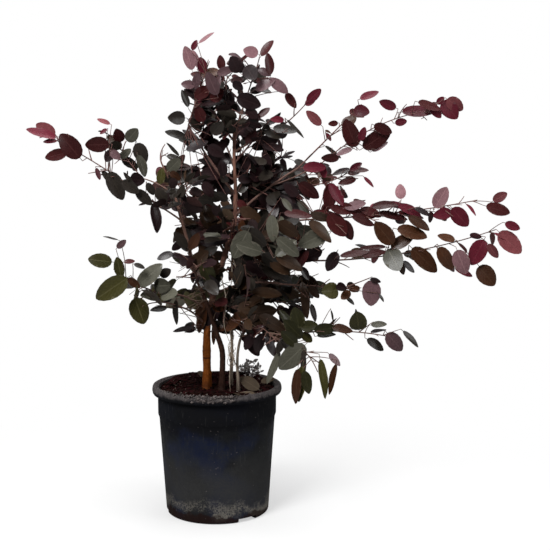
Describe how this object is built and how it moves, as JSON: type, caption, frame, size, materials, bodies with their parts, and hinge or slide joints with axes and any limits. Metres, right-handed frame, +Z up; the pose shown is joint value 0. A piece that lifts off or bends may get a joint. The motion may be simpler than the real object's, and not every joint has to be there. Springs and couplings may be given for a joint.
{
  "type": "potted fringe flower shrub",
  "caption": "Young open-branched shrub with oval dark purple, crimson and olive leaves on thin stems, in a round black nursery pot.",
  "frame": {"origin": "centre of the pot's flat underside", "axes": "+Z up along the pot's centre line, the pictured front towards -Y, the long side branches towards +X"},
  "size_m": [0.7881, 0.4981, 0.7976],
  "materials": {
    "pot": "black moulded plastic, dusty and scuffed, worn grey at the rim",
    "mix": "damp dark reddish-brown bark and peat mix",
    "stem": "smooth orange-brown bark",
    "dark_stem": "dull dark brown bark",
    "bough": "thin red-brown bark",
    "crimson_leaf": "young crimson leaves with a soft sheen",
    "burgundy_leaf": "burgundy leaves with a soft sheen",
    "purple_leaf": "near-black purple leaves with a satin sheen",
    "bronze_leaf": "bronze-brown leaves with a soft sheen",
    "olive_leaf": "older olive-green leaves",
    "sage_leaf": "older grey-green leaves"
  },
  "bodies": {
    "root": {"pot": "pot", "potting_mix": "mix", "main_stem": "stem", "left_stem": "dark_stem", "back_stem": "dark_stem", "front_stem": "dark_stem", "left_upper_bough": "bough", "left_crown_bough": "bough", "top_left_bough": "bough", "top_right_fork": "bough", "top_right_bough": "bough", "right_upper_bough": "bough", "right_outer_bough": "bough", "mid_right_bough": "bough", "right_long_bough": "bough", "right_lower_bough": "bough", "low_right_bough": "bough", "front_right_bough": "bough", "low_left_bough": "bough", "low_left_lower_bough": "bough", "back_left_bough": "bough", "back_right_bough": "bough", "back_upper_bough": "bough", "left_outer_spray": "burgundy_leaf", "left_crown_spray": "purple_leaf", "left_tip_spray": "purple_leaf", "top_left_spray": "burgundy_leaf", "crown_left_spray": "purple_leaf", "crown_right_spray": "burgundy_leaf", "top_right_spray": "purple_leaf", "right_upper_spray": "crimson_leaf", "right_outer_spray": "crimson_leaf", "mid_right_spray": "burgundy_leaf", "right_long_spray": "crimson_leaf", "right_lower_spray": "crimson_leaf", "low_right_spray": "sage_leaf", "low_right_tip_spray": "olive_leaf", "front_right_spray": "bronze_leaf", "front_low_spray": "purple_leaf", "low_left_spray": "olive_leaf", "low_left_lower_spray": "sage_leaf", "low_centre_spray": "bronze_leaf", "low_right_inner_spray": "olive_leaf", "centre_left_spray": "purple_leaf", "centre_low_left_spray": "bronze_leaf", "centre_right_spray": "purple_leaf", "centre_upper_right_spray": "purple_leaf", "centre_mid_spray": "bronze_leaf", "centre_front_spray": "sage_leaf", "centre_low_right_spray": "bronze_leaf", "centre_back_spray": "purple_leaf", "back_left_spray": "burgundy_leaf", "back_right_spray": "burgundy_leaf", "back_upper_spray": "purple_leaf", "back_low_left_spray": "olive_leaf", "back_low_right_spray": "sage_leaf", "back_mid_spray": "bronze_leaf"}
  },
  "joints": []
}
